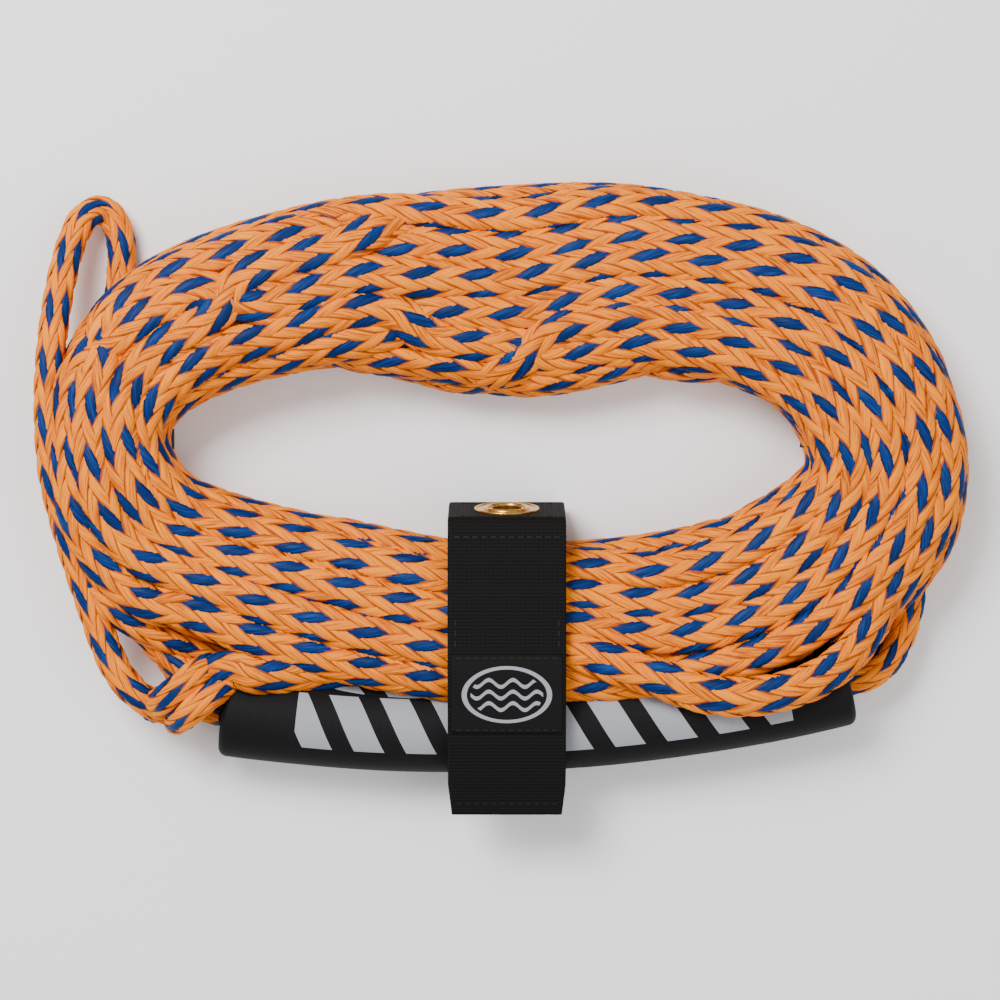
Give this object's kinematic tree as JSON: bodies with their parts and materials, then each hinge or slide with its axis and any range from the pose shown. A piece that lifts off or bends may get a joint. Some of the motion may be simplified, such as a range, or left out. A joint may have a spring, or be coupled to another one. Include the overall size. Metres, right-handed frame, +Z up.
{
  "type": "tow rope handle",
  "caption": "Foam tow handle strapped to its own long braided rope, coiled in an oval bundle with an eye loop, held by a hook and loop strap that has a grommet for hanging.",
  "frame": {"origin": "on the floor under the middle of the grip and strap, at the strap's underside", "axes": "+X along the grip, towards its right end; +Y across the bundle, away from the grip; +Z up, out of the coil's flat side"},
  "size_m": [0.3993, 0.2703, 0.0534],
  "materials": {
    "foam_grip": "closed cell foam, matt, with a pale printed band pattern",
    "core_tube": "drawn tube",
    "end_plug": "moulded",
    "rope": "hollow braid of flat polypropylene yarns, orange with blue tracers",
    "tie": "flat elastic band",
    "webbing": "black polyester webbing, 50 mm wide, ribbed weave",
    "loop_tape": "brushed loop tape",
    "hook_tape": "hook tape",
    "label": null,
    "thread": "black bonded thread",
    "grommet": "rolled brass eyelet"
  },
  "bodies": {
    "grip_and_coil": {"grip_sleeve": "foam_grip", "core_tube": "core_tube", "end_plug_left": "end_plug", "end_plug_right": "end_plug", "rope_in_grip": "rope", "bridle_left_leg": "rope", "bridle_right_leg": "rope", "bridle_splice": "rope", "main_coil": "rope", "eye_loop": "rope", "eye_knot": "rope", "knot_tail": "rope", "bundle_tie_left": "tie", "bundle_tie_right": "tie", "strap_wrap": "webbing", "grommet_patch": "webbing", "patch_stitching": "thread", "grommet_eyelet": "grommet", "grommet_washer": "grommet", "loop_pad": "loop_tape", "loop_pad_stitching": "thread"},
    "flap": {"strap_flap": "webbing", "hook_pad": "hook_tape", "hook_pad_stitching": "thread", "hem_stitching": "thread", "woven_label": "label", "label_stitching": "thread"},
    "tail_tab": {"strap_tail": "webbing", "tail_stitching": "thread"}
  },
  "joints": [
    {"name": "flap_lift", "type": "hinge", "parent": "grip_and_coil", "child": "flap", "pos_m": [-0.013, 0.0602, 0.0496], "axis": [-1, 0, 0], "range_deg": [0, 150]},
    {"name": "tail_peel", "type": "hinge", "parent": "flap", "child": "tail_tab", "pos_m": [-0.013, -0.048, 0.043], "axis": [-1, 0, 0], "range_deg": [0, 70]}
  ]
}
